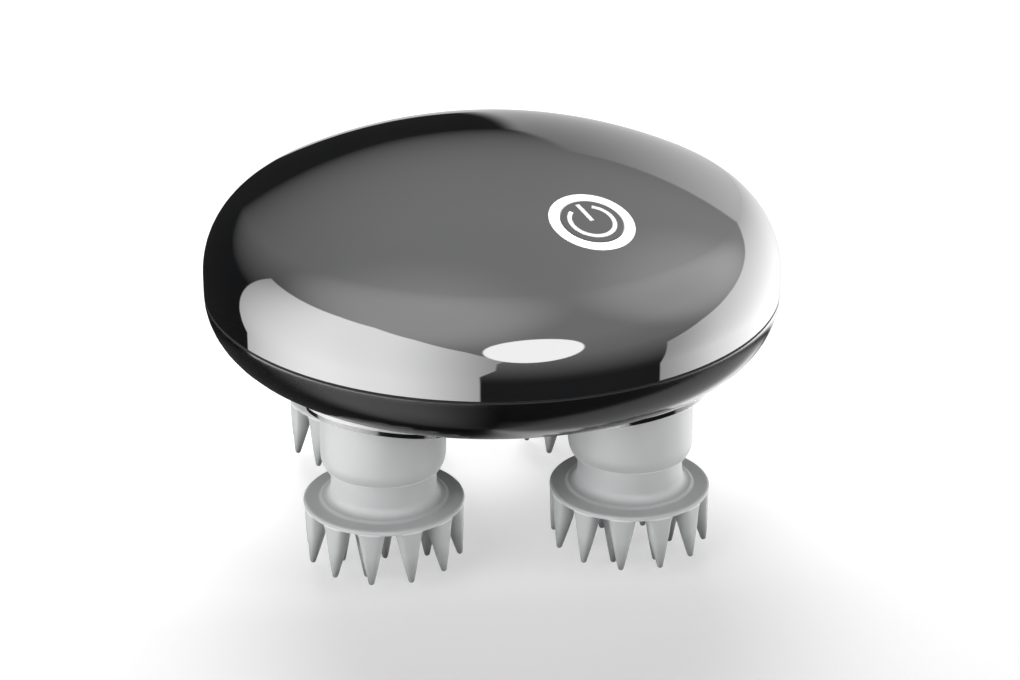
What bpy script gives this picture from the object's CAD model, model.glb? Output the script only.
import bpy, bmesh, math
import numpy as np
from mathutils import Vector, Matrix


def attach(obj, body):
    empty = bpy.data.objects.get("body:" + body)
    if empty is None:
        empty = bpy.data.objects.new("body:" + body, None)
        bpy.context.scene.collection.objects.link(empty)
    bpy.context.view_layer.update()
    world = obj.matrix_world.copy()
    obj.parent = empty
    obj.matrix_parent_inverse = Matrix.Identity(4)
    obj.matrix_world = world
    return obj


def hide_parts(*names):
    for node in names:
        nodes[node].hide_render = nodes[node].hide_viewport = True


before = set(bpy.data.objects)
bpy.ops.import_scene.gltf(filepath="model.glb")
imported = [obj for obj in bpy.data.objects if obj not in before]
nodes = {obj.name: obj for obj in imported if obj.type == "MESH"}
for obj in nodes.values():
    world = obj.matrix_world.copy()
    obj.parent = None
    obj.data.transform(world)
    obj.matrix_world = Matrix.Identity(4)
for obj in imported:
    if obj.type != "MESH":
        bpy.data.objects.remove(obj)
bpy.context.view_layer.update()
scene = bpy.context.scene
HEADS = {"front_left": (-1, -1), "front_right": (1, -1), "back_left": (-1, 1), "back_right": (1, 1)}
MM = 0.001

# ---------------------------------------------------------------- sizes, in millimetres and degrees
# The dome: an upright band, a rounded shoulder and a ball-shaped cap
BODY_R, PARTING = 55.0, 46.1
SHOULDER_X, SHOULDER_Z, SHOULDER_R = 40.0, 49.8, 15.0
BALL_R, BALL_Z, CAP_ANGLE = 100.758, -26.058, 62.2
# The bowl: a rounded edge, a slope and a flat belly
EDGE_X, EDGE_R, SLOPE = 43.8, 11.2, 22.0
BELLY_Z, BELLY_ARC_X, BELLY_ARC_R = 32.2, 36.96, 12.0
# Where the faces of the groove between them are looked for: how far in from the rim, how far up or down
# from the parting, and turned up or down by at least this sine
GROOVE_IN, GROOVE_UP, GROOVE_TURN = 0.4, 0.3, 0.4
# The hubs' collars
COLLAR_Z, COLLAR_R, COLLAR_SHOW, COLLAR_H = 20.2, 11.75, 9.4, 13.178
CORNER_R, CORNER_Z, CORNER_FROM = 5.0, 2.8, -34.06
COLLAR_DRAFT, COLLAR_CHAMFER = 0.25, 0.4
# The heads
HEAD_AT = 23.335
FLANGE_Z, FLANGE_T, FLANGE_X = 12.4, 1.1, 14.6
FLARE_X, FLARE_Z, FLARE_R = 11.6, 15.65, 1.7
NECK_R, NECK_TOP, BORE_R, BORE_FOOT = 9.9, 24.2, 6.5, 15.5
OUTER_FINGERS, OUTER_RING, OUTER_TIP_RING, OUTER_LEN = 12, 13.15, 14.4, 10.4
INNER_FINGERS, INNER_RING = 6, 8.0
FINGER_TIP_R, FINGER_ROOT_R, ROOT_FLARE, ROOT_SINK = 0.57, 2.55, 0.28, 0.5
# A finger's taper: the share of it that is straight, the power of the rest, and where its flare begins
STRAIGHT_SHARE, SWELL_POWER, FLARE_FROM = 0.86, 2.6, 0.86
BODY_SIDES, FINGER_SIDES, TAPER_STEPS = 96, 32, 16

# ---------------------------------------------------------------- camera
CAMERA_AT = Vector((-0.061414, -0.505174, 0.260909))
CAMERA_AIM = Vector((0.003422, -0.000440, 0.03364))
CAMERA_ROLL = math.radians(0.09)

cam = bpy.data.cameras.new("camera")
cam.lens = 101.79
cam.sensor_width = 36
cam_ob = bpy.data.objects.new("camera", cam)
cam_ob.location = CAMERA_AT
cam_ob.rotation_mode = "QUATERNION"
cam_ob.rotation_quaternion = ((CAMERA_AIM - CAMERA_AT).to_track_quat("-Z", "Y")
                              @ Matrix.Rotation(CAMERA_ROLL, 4, "Z").to_quaternion())
scene.collection.objects.link(cam_ob)
scene.camera = cam_ob
scene.view_settings.view_transform = "Standard"


# ---------------------------------------------------------------- node helpers
class Tree:
    """Short names for building a node tree. A value is a number, a tuple or another node's socket."""

    def __init__(self, owner):
        owner.use_nodes = True
        self.tree = owner.node_tree
        self.tree.nodes.clear()

    def add(self, kind, **settings):
        n = self.tree.nodes.new(kind)
        for key, value in settings.items():
            setattr(n, key, value)
        return n

    def put(self, socket, value):
        if isinstance(value, bpy.types.NodeSocket):
            self.tree.links.new(value, socket)
        elif value is not None:
            socket.default_value = value

    def math(self, op, a, b=None):
        n = self.add("ShaderNodeMath", operation=op)
        for socket, value in zip(n.inputs, (a, b)):
            self.put(socket, value)
        return n.outputs[0]

    def total(self, *values):
        out = values[0]
        for value in values[1:]:
            out = self.math("ADD", out, value)
        return out

    def product(self, *values):
        out = values[0]
        for value in values[1:]:
            out = self.math("MULTIPLY", out, value)
        return out

    def step(self, value, low, high, to_low=0.0, to_high=1.0, kind="SMOOTHSTEP"):
        n = self.add("ShaderNodeMapRange", interpolation_type=kind)
        for socket, v in zip(n.inputs, (value, low, high, to_low, to_high)):
            self.put(socket, v)
        return n.outputs[0]

    def curve(self, value, points):
        """A piecewise linear curve through (x, y) points."""
        out = points[0][1]
        for (x0, y0), (x1, y1) in zip(points, points[1:]):
            out = self.math("ADD", out, self.step(value, x0, x1, 0.0, y1 - y0, "LINEAR"))
        return out

    def mix(self, factor, a, b):
        n = self.add("ShaderNodeMix", data_type="FLOAT", clamp_factor=True)
        for socket, v in zip((n.inputs[0], n.inputs[2], n.inputs[3]), (factor, a, b)):
            self.put(socket, v)
        return n.outputs[0]

    def mix_color(self, factor, a, b):
        n = self.add("ShaderNodeMix", data_type="RGBA", clamp_factor=True)
        for socket, v in zip((n.inputs[0], n.inputs[6], n.inputs[7]), (factor, a, b)):
            self.put(socket, v)
        return n.outputs[2]

    def noise(self, coords, scale, detail):
        n = self.add("ShaderNodeTexNoise")
        self.put(n.inputs["Vector"], coords)
        n.inputs["Scale"].default_value = scale
        n.inputs["Detail"].default_value = detail
        return n.outputs["Fac"]

    def split(self, vector):
        n = self.add("ShaderNodeSeparateXYZ")
        self.put(n.inputs[0], vector)
        return n.outputs


def rgb(r, g, b):
    return (r, g, b, 1.0)


def direction_of(az_deg, el_deg):
    """The unit vector towards an azimuth, from +Y towards +X, and an elevation."""
    a, e = math.radians(az_deg), math.radians(el_deg)
    return Vector((math.sin(a) * math.cos(e), math.cos(a) * math.cos(e), math.sin(e)))


# ---------------------------------------------------------------- materials
def material(name, color, rough, vary, grain, bump, spread, smudge, sockets=None, shade=None):
    """A moulded or machined finish: colour mottling, roughness smudges and a fine grain in the bump.
    vary is the colour's spread, spread the roughness's, and bump the grain's depth in millimetres.
    shade(t, radius, height) gives a factor on the colour from the place on the piece, in millimetres."""
    m = bpy.data.materials.new(name)
    t = Tree(m)
    out = t.add("ShaderNodeOutputMaterial")
    bsdf = t.add("ShaderNodeBsdfPrincipled")
    t.put(out.inputs["Surface"], bsdf.outputs[0])
    coords = t.add("ShaderNodeTexCoord").outputs["Object"]
    broad = t.noise(coords, smudge, 4.0)
    fine = t.noise(coords, grain, 2.0)
    dark = rgb(*[c * (1 - vary) for c in color])
    pale = rgb(*[min(1.0, c * (1 + vary)) for c in color])
    tint = t.mix_color(t.step(broad, 0.3, 0.7), dark, pale)
    if shade:
        x, y, z = [t.math("MULTIPLY", c, 1 / MM) for c in t.split(coords)]
        radius = t.math("SQRT", t.total(t.product(x, x), t.product(y, y)))
        scaled = t.add("ShaderNodeVectorMath", operation="SCALE")
        t.put(scaled.inputs[0], tint)
        t.put(scaled.inputs["Scale"], shade(t, radius, z))
        tint = scaled.outputs[0]
    t.put(bsdf.inputs["Base Color"], tint)
    blotches = t.total(t.product(broad, 0.7), t.product(fine, 0.3))
    t.put(bsdf.inputs["Roughness"], t.step(blotches, 0.3, 0.7, max(0.0, rough - spread), rough + spread))
    if bump:
        b = t.add("ShaderNodeBump")
        b.inputs["Strength"].default_value = 1.0
        b.inputs["Distance"].default_value = bump * MM
        t.put(b.inputs["Height"], fine)
        t.put(bsdf.inputs["Normal"], b.outputs[0])
    for key, value in (sockets or {}).items():
        bsdf.inputs[key].default_value = value
    return m


def silicone_shade(t, radius, height):
    """Frosted silicone, painted by place: deeper grey towards the finger tips and on the flange's top,
    and pale on the lower half of the flange's rim."""
    fingers = t.curve(height, [(0.0, 0.3), (1.5, 0.4), (4.5, 0.74), (8.0, 1.0), (11.5, 1.04)])
    flange = t.product(t.step(height, FLANGE_Z + 0.8, FLANGE_Z + 1.0),
                       t.step(height, FLANGE_Z + 2.2, FLANGE_Z + 1.4))
    rim = t.product(t.step(radius, FLANGE_X + 0.15, FLANGE_X + 0.35),
                    t.step(height, FLANGE_Z, FLANGE_Z + 0.06),
                    t.step(height, FLANGE_Z + 0.55, FLANGE_Z + 0.35))
    darker = t.math("SUBTRACT", 1.0, t.product(flange, 0.2))
    return t.total(t.product(fingers, darker), t.product(rim, 0.4))


def hub_shade(t, radius, height):
    """A pale lip round the collar's lower edge."""
    return t.curve(height, [(COLLAR_Z, 1.4), (COLLAR_Z + 0.22, 1.38), (COLLAR_Z + 0.42, 0.96),
                            (COLLAR_Z + 3, 1.0)])


def soft(weight, depth):
    return {"Subsurface Weight": weight, "Subsurface Scale": depth, "Subsurface Radius": (1.0, 1.0, 1.0)}


def lit(strength):
    return {"Emission Color": rgb(1, 1, 1), "Emission Strength": strength}


DULL = {"Specular IOR Level": 0.22}
METAL = {"Metallic": 1.0}
# Each finish: colour, roughness, colour spread, grain scale, grain depth in millimetres, roughness spread,
# smudge scale, and where it has them, other sockets and a shade
FINISHES = {
    "gloss_black": ((0.0075, 0.0078, 0.0085), 0.022, 0.2, 240.0, 0.0, 0.008, 30.0, {"IOR": 1.5}),
    "satin_black": ((0.0036, 0.0037, 0.0041), 0.13, 0.15, 700.0, 0.0006, 0.015, 45.0, {"IOR": 1.5}),
    "groove_black": ((0.004, 0.004, 0.0044), 0.6, 0.15, 900.0, 0.002, 0.05, 60.0,
                     {"Specular IOR Level": 0.1}),
    "silicone_frost": ((0.52, 0.53, 0.53), 0.5, 0.02, 1400.0, 0.003, 0.05, 90.0,
                       {"IOR": 1.41, **DULL, **soft(0.35, 0.0010)}, silicone_shade),
    "hub_frost": ((0.60, 0.605, 0.605), 0.45, 0.015, 1600.0, 0.002, 0.04, 70.0,
                  {"IOR": 1.49, **DULL, **soft(0.25, 0.0008)}, hub_shade),
    "trim_grey": ((0.70, 0.70, 0.70), 0.34, 0.02, 1500.0, 0.002, 0.04, 80.0, {"Specular IOR Level": 0.3}),
    "diffuser_white": ((0.93, 0.93, 0.93), 0.25, 0.01, 900.0, 0.001, 0.03, 60.0, lit(0.35)),
    "symbol_white": ((0.88, 0.88, 0.88), 0.3, 0.01, 900.0, 0.001, 0.03, 60.0, lit(0.1)),
    "black_rubber": ((0.016, 0.016, 0.017), 0.62, 0.15, 1500.0, 0.012, 0.06, 120.0),
    "foam_grey": ((0.13, 0.13, 0.135), 0.9, 0.2, 1800.0, 0.12, 0.04, 400.0),
    "gear_acetal": ((0.78, 0.77, 0.72), 0.33, 0.02, 900.0, 0.004, 0.05, 120.0, soft(0.15, 0.0006)),
    "plate_plastic": ((0.30, 0.30, 0.31), 0.5, 0.06, 1600.0, 0.008, 0.06, 90.0),
    "switch_plastic": ((0.03, 0.03, 0.032), 0.45, 0.1, 1600.0, 0.006, 0.06, 150.0),
    "bright_steel": ((0.62, 0.62, 0.63), 0.2, 0.03, 1400.0, 0.002, 0.06, 200.0, METAL),
    "screw_steel": ((0.47, 0.47, 0.49), 0.32, 0.06, 1400.0, 0.004, 0.08, 200.0, METAL),
    "motor_steel": ((0.55, 0.55, 0.56), 0.34, 0.04, 1000.0, 0.003, 0.08, 100.0, METAL),
    "magnet_ferrite": ((0.035, 0.035, 0.038), 0.6, 0.15, 1500.0, 0.01, 0.06, 150.0),
    "copper_core": ((0.72, 0.36, 0.18), 0.35, 0.12, 1500.0, 0.01, 0.08, 300.0, METAL),
    "bronze": ((0.55, 0.40, 0.20), 0.38, 0.08, 1500.0, 0.006, 0.08, 200.0, METAL),
    "contact_gold": ((0.83, 0.62, 0.28), 0.25, 0.05, 1500.0, 0.002, 0.08, 300.0, METAL),
    "board_green": ((0.012, 0.12, 0.045), 0.35, 0.12, 900.0, 0.004, 0.06, 120.0),
    "component_black": ((0.02, 0.02, 0.021), 0.5, 0.1, 1600.0, 0.006, 0.06, 150.0),
    "led_yellow": ((0.85, 0.72, 0.25), 0.25, 0.05, 900.0, 0.002, 0.04, 200.0),
    "battery_foil": ((0.62, 0.63, 0.65), 0.36, 0.04, 500.0, 0.02, 0.08, 120.0, {"Metallic": 0.9}),
    "wire_red": ((0.42, 0.02, 0.018), 0.42, 0.06, 1200.0, 0.003, 0.05, 200.0),
    "wire_blue": ((0.02, 0.06, 0.36), 0.42, 0.06, 1200.0, 0.003, 0.05, 200.0),
    "wire_grey": ((0.30, 0.30, 0.31), 0.42, 0.06, 1200.0, 0.003, 0.05, 200.0),
}
WORN_BY = {
    "gloss_black": ["top_cover", "power_button"],
    "satin_black": ["lower_shell"],
    "silicone_frost": ["massage_head_" + head for head in HEADS],
    "hub_frost": ["drive_hub_" + head for head in HEADS],
    "trim_grey": ["trim_rings"],
    "diffuser_white": ["light_ring"],
    "symbol_white": ["power_symbol"],
    "black_rubber": ["seal_ring", "shaft_seals", "screw_plugs"],
    "foam_grey": ["battery_pad", "motor_pad"],
    "gear_acetal": ["sun_gear", "reduction_gear"] + ["head_gear_" + head for head in HEADS],
    "plate_plastic": ["gearbox_plate"],
    "switch_plastic": ["switch_plunger", "tact_switch", "motor_endcap"],
    "bright_steel": ["motor_shaft", "sun_pin", "idler_pin"] + ["spindle_" + head for head in HEADS],
    "screw_steel": ["button_board_screws", "main_board_screws", "plate_screws", "motor_screws",
                    "housing_screws"],
    "motor_steel": ["motor_can"],
    "magnet_ferrite": ["motor_magnets"],
    "copper_core": ["motor_armature"],
    "bronze": ["motor_bearing", "motor_pinion", "spindle_bushes"],
    "contact_gold": ["charge_contacts"],
    "board_green": ["button_board", "main_board"],
    "component_black": ["board_components"],
    "led_yellow": ["ring_leds"],
    "battery_foil": ["battery"],
    "wire_red": ["charge_leads", "battery_leads"],
    "wire_blue": ["motor_leads"],
    "wire_grey": ["button_leads"],
}
materials = {name: material(name, *settings) for name, settings in FINISHES.items()}
finish_of = {node: finish for finish, wearers in WORN_BY.items() for node in wearers}


def dress(ob, finish):
    ob.data.materials.clear()
    ob.data.materials.append(finish)


for name, ob in nodes.items():
    dress(ob, materials[finish_of[name]])


def stands_for(ob, node, body):
    """Puts a finer piece in a CAD node's place, with that node's finish."""
    dress(ob, materials[finish_of[node]])
    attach(ob, body)
    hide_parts(node)


# ---------------------------------------------------------------- smooth copies of the revolved pieces
def arc(x, z, r, a, b, n):
    """(x, z, normal x, normal z) along an arc from angle a to b, in degrees."""
    out = []
    for i in range(n + 1):
        t = math.radians(a + (b - a) * i / n)
        out.append((x + r * math.cos(t), z + r * math.sin(t), math.cos(t), math.sin(t)))
    return out


def line(x0, z0, x1, z1, nx, nz, n):
    return [(x0 + (x1 - x0) * i / n, z0 + (z1 - z0) * i / n, nx, nz) for i in range(n + 1)]


def nearest_on(profile, r, z):
    """For each point: its distance to the profile, and the normal there, interpolated between samples."""
    prof = np.array(profile)
    nearest, best = np.zeros(len(r), dtype=np.int64), np.full(len(r), 1e9)
    for k, (sample_r, sample_z) in enumerate(prof[:, :2]):
        gap = np.hypot(r - sample_r, z - sample_z)
        better = gap < best
        best[better], nearest[better] = gap[better], k
    distance, normal = np.full(len(r), 1e9), np.zeros((len(r), 2))
    for shift in (-1, 0):
        a = np.clip(nearest + shift, 0, len(prof) - 2)
        run = prof[a + 1, :2] - prof[a, :2]
        along = (r - prof[a, 0]) * run[:, 0] + (z - prof[a, 1]) * run[:, 1]
        t = np.clip(along / np.maximum((run ** 2).sum(1), 1e-12), 0, 1)[:, None]
        foot = prof[a, :2] + run * t
        gap = np.hypot(r - foot[:, 0], z - foot[:, 1])
        use = gap < distance
        distance[use] = gap[use]
        normal[use] = (prof[a, 2:] * (1 - t) + prof[a + 1, 2:] * t)[use]
    return distance, normal / np.maximum(np.linalg.norm(normal, axis=1), 1e-9)[:, None]


def read(items, attribute, width, kind=float):
    values = np.empty(len(items) * width, dtype=kind)
    items.foreach_get(attribute, values)
    return values.reshape(-1, width) if width > 1 else values


def rounded_copy(node, profile, centre=(0.0, 0.0), near=0.08, keep=0.965):
    """A copy of a CAD node whose revolved faces take the true normals of the profile, so that gloss
    runs over them without facets. A corner takes one if it lies within near millimetres of the profile
    and its face is turned that way, by a cosine of at least keep."""
    src = nodes[node]
    me = src.data.copy()
    me.name = node + "_skin"
    ob = bpy.data.objects.new(node + "_skin", me)
    scene.collection.objects.link(ob)
    world = np.array(src.matrix_world)
    turn, shift = world[:3, :3], world[:3, 3]
    places = read(me.vertices, "co", 3) @ turn.T + shift
    corners = places[read(me.loops, "vertex_index", 1, np.int64)] / MM
    normals = read(me.corner_normals, "vector", 3) @ turn.T
    faces = read(me.polygons, "normal", 3) @ turn.T
    faces = np.repeat(faces, read(me.polygons, "loop_total", 1, np.int64), axis=0)
    x, y = corners[:, 0] - centre[0], corners[:, 1] - centre[1]
    r = np.hypot(x, y)
    distance, normal = nearest_on(profile, r, corners[:, 2])
    safe = np.maximum(r, 1e-6)
    true = np.stack([normal[:, 0] * x / safe, normal[:, 0] * y / safe, normal[:, 1]], axis=1)
    good = (distance < near) & ((true * faces).sum(1) > keep)
    normals[good] = true[good]
    me.polygons.foreach_set("use_smooth", np.ones(len(me.polygons), dtype=bool))
    me.normals_split_custom_set([tuple(v) for v in normals @ np.linalg.inv(turn).T])
    ob.matrix_world = src.matrix_world
    return ob


cap_profile = arc(0, BALL_Z, BALL_R, CAP_ANGLE, 90, 240)
dome_profile = (line(BODY_R, PARTING, BODY_R, SHOULDER_Z, 1, 0, 4)
                + arc(SHOULDER_X, SHOULDER_Z, SHOULDER_R, 0, CAP_ANGLE, 80) + cap_profile)
bowl_profile = (line(0, BELLY_Z, BELLY_ARC_X, BELLY_Z, 0, -1, 20)
                + arc(BELLY_ARC_X, BELLY_Z + BELLY_ARC_R, BELLY_ARC_R, -90, SLOPE - 90, 60)
                + arc(EDGE_X, PARTING, EDGE_R, SLOPE - 90, 0, 100))
collar_bend = COLLAR_Z + COLLAR_SHOW - 3
collar_top = COLLAR_Z + COLLAR_H - COLLAR_CHAMFER
hub_profile = (arc(COLLAR_R - CORNER_R, COLLAR_Z + CORNER_Z, CORNER_R, CORNER_FROM, 0, 16)
               + line(COLLAR_R, COLLAR_Z + CORNER_Z + 0.1, COLLAR_R, collar_bend, 1, 0, 2)
               + line(COLLAR_R, collar_bend, COLLAR_R - COLLAR_DRAFT, collar_top, 1, 0, 2))

cover = rounded_copy("top_cover", dome_profile)
stands_for(cover, "top_cover", "housing")
shell = rounded_copy("lower_shell", bowl_profile)
stands_for(shell, "lower_shell", "housing")
for ob in (cover, shell):
    # The flanks of the parting groove, where polish doesn't reach
    ob.data.materials.append(materials["groove_black"])
    for face in ob.data.polygons:
        x, y, z = [c / MM for c in ob.matrix_world @ face.center]
        in_groove = math.hypot(x, y) > BODY_R - GROOVE_IN and abs(z - PARTING) < GROOVE_UP
        if in_groove and abs(face.normal.z) > GROOVE_TURN:
            face.material_index = 1
stands_for(rounded_copy("power_button", cap_profile), "power_button", "power_key")
for head, (sx, sy) in HEADS.items():
    hub = rounded_copy("drive_hub_" + head, hub_profile, (sx * HEAD_AT, sy * HEAD_AT))
    stands_for(hub, "drive_hub_" + head, "head_" + head)


# ---------------------------------------------------------------- silicone heads, with full finger roots
def spin(bm, profile, sides, matrix, squeeze=None):
    """A closed shell revolved from (radius, height) points, the first and last on the axis."""
    rings = []
    for r, z in profile:
        turns = [2 * math.pi * k / sides for k in range(sides)] if r > 1e-6 else [0.0]
        points = [matrix @ Vector((r * math.cos(a), r * math.sin(a), z)) for a in turns]
        if squeeze:
            points = [squeeze(p) for p in points]
        rings.append([bm.verts.new(p * MM) for p in points])
    for a, b in zip(rings, rings[1:]):
        for k in range(sides):
            j = (k + 1) % sides
            corners = []
            for v in (a[k % len(a)], a[j % len(a)], b[j % len(b)], b[k % len(b)]):
                if v not in corners:
                    corners.append(v)
            if len(corners) > 2:
                bm.faces.new(corners)


def finger_profile(length):
    """A finger on its tip: a round tip, a nearly straight taper, and a flare at the root."""
    out = []
    for degrees in range(0, 79, 13):
        a = math.radians(degrees)
        out.append((FINGER_TIP_R * math.sin(a), FINGER_TIP_R * (1 - math.cos(a))))
    tip, low = out[-1]
    for k in range(1, TAPER_STEPS + 1):
        t = k / TAPER_STEPS
        widened = STRAIGHT_SHARE * t + (1 - STRAIGHT_SHARE) * (1 - (1 - t) ** SWELL_POWER)
        flare = ROOT_FLARE * max(0.0, (t - FLARE_FROM) / (1 - FLARE_FROM)) ** 2
        out.append((tip + (FINGER_ROOT_R - tip) * widened + flare, low + (length - low) * t))
    return out + [(FINGER_ROOT_R + ROOT_FLARE, length + ROOT_SINK), (0.0, length + ROOT_SINK)]


def held_in(p, limit=15.12, soft_zone=0.5):
    """Keeps the finger roots flush with the flange's rim."""
    r = math.hypot(p.x, p.y)
    start = limit - soft_zone
    if r <= start:
        return p
    new = start + soft_zone * math.tanh((r - start) / soft_zone)
    return Vector((p.x * new / r, p.y * new / r, p.z))


def round_points(x, z, r, angles):
    return [(x + r * math.cos(math.radians(a)), z + r * math.sin(math.radians(a))) for a in angles]


def head_body(bm):
    top = FLANGE_Z + FLANGE_T
    half = FLANGE_T / 2
    outline = [(0.0, FLANGE_Z), (4.0, FLANGE_Z), (9.0, FLANGE_Z), (FLANGE_X + 0.02, FLANGE_Z)]
    outline += round_points(FLANGE_X, FLANGE_Z + half, half, range(-80, 81, 10))
    outline += [(FLANGE_X - 0.2, top), (FLANGE_X - 1.2, top), (FLANGE_X - 2.1, top)]
    # The step at the foot of the neck's flare
    outline += [(FLARE_X + out, top + up) for out, up in
                ((0.62, 0.01), (0.48, 0.06), (0.3, 0.22), (0.14, 0.36), (0.02, 0.43))]
    outline += round_points(FLARE_X, FLARE_Z, FLARE_R, range(-94, -179, -6))
    outline += [(NECK_R, FLARE_Z + 0.15), (NECK_R, NECK_TOP - 0.2), (NECK_R - 0.1, NECK_TOP)]
    outline += [(BORE_R + 0.1, NECK_TOP), (BORE_R, NECK_TOP - 0.1), (BORE_R, BORE_FOOT + 0.12),
                (BORE_R - 0.1, BORE_FOOT), (0.0, BORE_FOOT)]
    spin(bm, outline, BODY_SIDES, Matrix.Identity(4))


def head_fingers(bm):
    lean = math.atan((OUTER_TIP_RING - OUTER_RING) / OUTER_LEN)
    slant = OUTER_LEN / math.cos(lean)
    for k in range(OUTER_FINGERS):
        place = (Matrix.Rotation(2 * math.pi / OUTER_FINGERS * (k + 0.5), 4, "Z")
                 @ Matrix.Translation((OUTER_RING, 0, FLANGE_Z))
                 @ Matrix.Rotation(-lean, 4, "Y") @ Matrix.Translation((0, 0, -slant)))
        spin(bm, finger_profile(slant), FINGER_SIDES, place, held_in)
    for k in range(INNER_FINGERS):
        place = (Matrix.Rotation(2 * math.pi / INNER_FINGERS * k, 4, "Z")
                 @ Matrix.Translation((INNER_RING, 0, 0)))
        spin(bm, finger_profile(FLANGE_Z), FINGER_SIDES, place)
    spin(bm, finger_profile(FLANGE_Z), FINGER_SIDES, Matrix.Identity(4))


def built(name, build):
    bm = bmesh.new()
    build(bm)
    bmesh.ops.recalc_face_normals(bm, faces=bm.faces)
    me = bpy.data.meshes.new(name)
    bm.to_mesh(me)
    bm.free()
    ob = bpy.data.objects.new(name, me)
    scene.collection.objects.link(ob)
    return ob


body_ob, fingers_ob = built("head_body", head_body), built("head_fingers", head_fingers)
union = body_ob.modifiers.new("union", "BOOLEAN")
union.operation = "UNION"
union.solver = "EXACT"
union.object = fingers_ob
head_mesh = bpy.data.meshes.new_from_object(body_ob.evaluated_get(bpy.context.evaluated_depsgraph_get()))
for ob in (body_ob, fingers_ob):
    bpy.data.objects.remove(ob)
head_mesh.polygons.foreach_set("use_smooth", np.ones(len(head_mesh.polygons), dtype=bool))
head_mesh.set_sharp_from_angle(angle=math.radians(42))
for head, (sx, sy) in HEADS.items():
    me = head_mesh.copy()
    me.name = "silicone_head_" + head
    ob = bpy.data.objects.new("silicone_head_" + head, me)
    ob.location = (sx * HEAD_AT * MM, sy * HEAD_AT * MM, 0.0)
    scene.collection.objects.link(ob)
    stands_for(ob, "massage_head_" + head, "head_" + head)

# ---------------------------------------------------------------- floor, in metres
FLOOR_HALF, FLOOR_DROP, FLOOR_GREY = 6, 0.0002, 0.58
FLOOR_CORNERS = ((-1, -1), (1, -1), (1, 1), (-1, 1))
floor_mesh = bpy.data.meshes.new("floor")
floor_mesh.from_pydata([(x * FLOOR_HALF, y * FLOOR_HALF, 0) for x, y in FLOOR_CORNERS], [], [(0, 1, 2, 3)])
floor = bpy.data.objects.new("floor", floor_mesh)
floor.location.z = -FLOOR_DROP
scene.collection.objects.link(floor)
floor_mat = bpy.data.materials.new("floor")
t = Tree(floor_mat)
out = t.add("ShaderNodeOutputMaterial")
diffuse = t.add("ShaderNodeBsdfDiffuse")
diffuse.inputs["Color"].default_value = rgb(FLOOR_GREY, FLOOR_GREY, FLOOR_GREY)
glow = t.add("ShaderNodeEmission")
path = t.add("ShaderNodeLightPath")
# A glow painted by place, which only the camera sees: the floor is paler behind the part than in front
behind = t.split(t.add("ShaderNodeTexCoord").outputs["Object"])[1]
sweep = t.curve(behind, [(-0.085, 0.33), (-0.045, 0.37), (-0.005, 0.53), (0.04, 0.66)])
t.put(glow.inputs["Strength"], t.product(path.outputs["Is Camera Ray"], sweep))
both = t.add("ShaderNodeAddShader")
t.put(both.inputs[0], diffuse.outputs[0])
t.put(both.inputs[1], glow.outputs[0])
t.put(out.inputs["Surface"], both.outputs[0])
dress(floor, floor_mat)
floor.visible_glossy = False

# ---------------------------------------------------------------- world: plain light, and what gloss mirrors
# Places are azimuth az, from +Y towards +X, and elevation el, in degrees. The camera is near az -173.
PLAIN_LEVEL, GLOSS_GAIN = 0.27, 1.16
LAMP_AZ, LAMP_EL, LAMP_HALF_W, LAMP_HALF_H, LAMP_LEVEL = 170.8, 18.8, 19.7, 15.4, 23.0
# The cards' edges: a top through (az, el) points, and a slanted end through (el, az) points
RIGHT_TOP = [(12, 23), (44, 19), (80, 11), (100, 5.5), (118, -2)]
RIGHT_END = [(-12, -2), (-8, 6), (12, 8.5), (24, 16)]
LEFT_TOP = [(-178, 7), (-163, 18.5), (-142, 28.5), (-122, 34), (-104, 34), (-61, 29.5)]
LEFT_END = [(-15, -168.4), (-6, -174.3), (3, -174.8), (8, -179)]
TOP_SOFTNESS = 0.6

world = bpy.data.worlds.new("studio")
scene.world = world
t = Tree(world)
direction = t.add("ShaderNodeTexCoord").outputs["Generated"]
to_x, to_y, to_z = t.split(direction)
az = t.product(t.math("ARCTAN2", to_x, to_y), 180 / math.pi)
el = t.product(t.math("ARCSINE", to_z), 180 / math.pi)
az_turn = t.total(az, t.product(t.math("LESS_THAN", az, 0.0), 360.0))


def inside(edge, half):
    """1 below an edge and 0 above it, softened over half on either side."""
    return t.step(edge, -half, half, 1.0, 0.0)


def past(value, points, against):
    """How far value lies above an edge that is drawn through (against, value) points."""
    return t.math("SUBTRACT", value, t.curve(against, points))


def glow_at(light, az_deg, el_deg, inner, outer, value):
    """Adds a soft round patch of light to the ceiling."""
    dot = t.add("ShaderNodeVectorMath", operation="DOT_PRODUCT")
    t.put(dot.inputs[0], direction)
    dot.inputs[1].default_value = direction_of(az_deg, el_deg)
    patch = t.step(dot.outputs["Value"], math.cos(math.radians(outer)), math.cos(math.radians(inner)))
    return t.total(light, t.product(patch, value))


# A big soft ceiling, which begins higher and stays dimmer ahead of the camera than elsewhere
ahead = t.curve(el, [(12, 0.02), (17, 0.38), (54, 2.6), (84, 3.7)])
around = t.curve(el, [(-27, 0.03), (-20, 0.3), (8, 2.9), (30, 3.65)])
light = t.mix(t.step(az, 5, 85), ahead, around)
light = t.mix(t.step(az, -130, -61, 1.0, 0.0), light, around)
light = glow_at(light, 84, 38, 13, 38, 2.3)
light = glow_at(light, -125, 56, 14, 50, 2.9)
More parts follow.
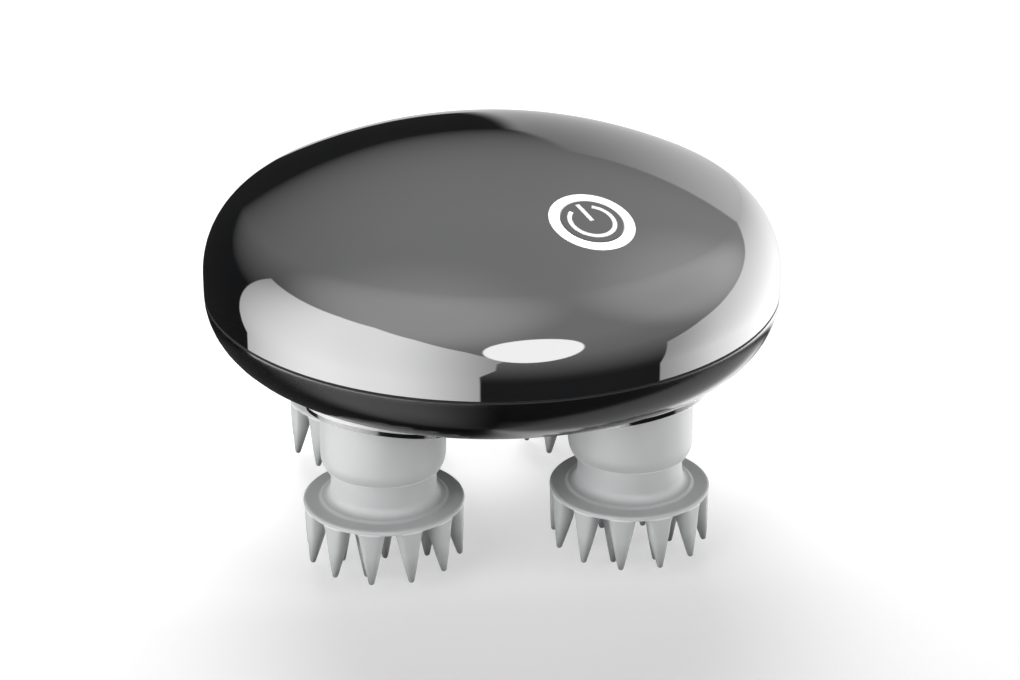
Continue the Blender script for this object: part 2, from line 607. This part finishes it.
# The floor as the bowl mirrors it, paler to the left and the right of the shadow
pale_left = t.product(t.step(az, -182, -130), t.step(az, -108, -62, 1.0, 0.05),
                      t.step(el, -92, -44, 0.1, 1.4))
pale_right = t.product(inside(past(el, [(88, -29), (160, -69)], az_turn), 5),
                       t.total(t.step(az, 2, 20, 0.0, 1.8), t.step(az, 26, 50, 0.0, -1.0),
                               t.step(az, 125, 175, 0.0, -0.6)))
light = t.mix(t.step(el, -31, -27), t.total(pale_left, pale_right), light)
# Right-hand card: brightest in its middle, with a sloping top, a slanted end and a sharp lower edge
right_value = t.total(t.step(az, 8, 90, 0.8, 9.8), t.step(az, 88, 122, 0.0, -4.0))
right = t.product(t.step(past(az, RIGHT_END, el), -1, 1), t.step(az, 117.5, 118.5, 1.0, 0.0),
                  inside(past(el, RIGHT_TOP, az), TOP_SOFTNESS), t.step(el, -27.5, -25))
light = t.mix(right, light, right_value)
# Left-hand card: the brighter one, with an arched top
left_value = t.total(t.step(az, -190, -128, 5.0, 18.0), t.step(az, -111, -43, 0.0, -16.0))
left = t.product(t.step(past(az, LEFT_END, el), -0.5, 0.5), t.step(az, -61.2, -60.4, 1.0, 0.0),
                 inside(past(el, LEFT_TOP, az), TOP_SOFTNESS), t.step(el, -27.8, -26.4))
light = t.mix(left, light, left_value)
# The round lamp, in front of the part and beside the camera
across = t.math("POWER", t.math("DIVIDE", t.math("SUBTRACT", az_turn, LAMP_AZ), LAMP_HALF_W), 2.0)
upward = t.math("POWER", t.math("DIVIDE", t.math("SUBTRACT", el, LAMP_EL), LAMP_HALF_H), 2.0)
lamp = t.step(t.math("SQRT", t.total(across, upward)), 0.97, 1.03, 1.0, 0.0)
light = t.product(t.mix(lamp, light, LAMP_LEVEL), GLOSS_GAIN)

path = t.add("ShaderNodeLightPath")
strength = t.mix(path.outputs["Is Glossy Ray"], PLAIN_LEVEL, light)
seen = t.math("MAXIMUM", path.outputs["Is Camera Ray"], path.outputs["Is Transmission Ray"])
background = t.add("ShaderNodeBackground")
t.put(background.inputs["Strength"], t.mix(seen, strength, 1.0))
out = t.add("ShaderNodeOutputWorld")
t.put(out.inputs["Surface"], background.outputs[0])


# ---------------------------------------------------------------- lamps
def sun(name, az_deg, el_deg, energy, angle):
    data = bpy.data.lights.new(name, "SUN")
    data.energy = energy
    data.angle = math.radians(angle)
    ob = bpy.data.objects.new(name, data)
    ob.rotation_euler = direction_of(az_deg, el_deg).to_track_quat("Z", "Y").to_euler()
    ob.visible_glossy = False
    scene.collection.objects.link(ob)


# A tall, narrow key from behind, whose shadow is soft along the camera's way and firmer across it
for k, key_el in enumerate((25, 33, 41, 50)):
    sun("key_from_behind_%d" % k, 0, key_el, 0.8, 36)
sun("fill_front_left", -122, 22, 1.75, 50)
sun("fill_right", 115, 16, 1.2, 36)
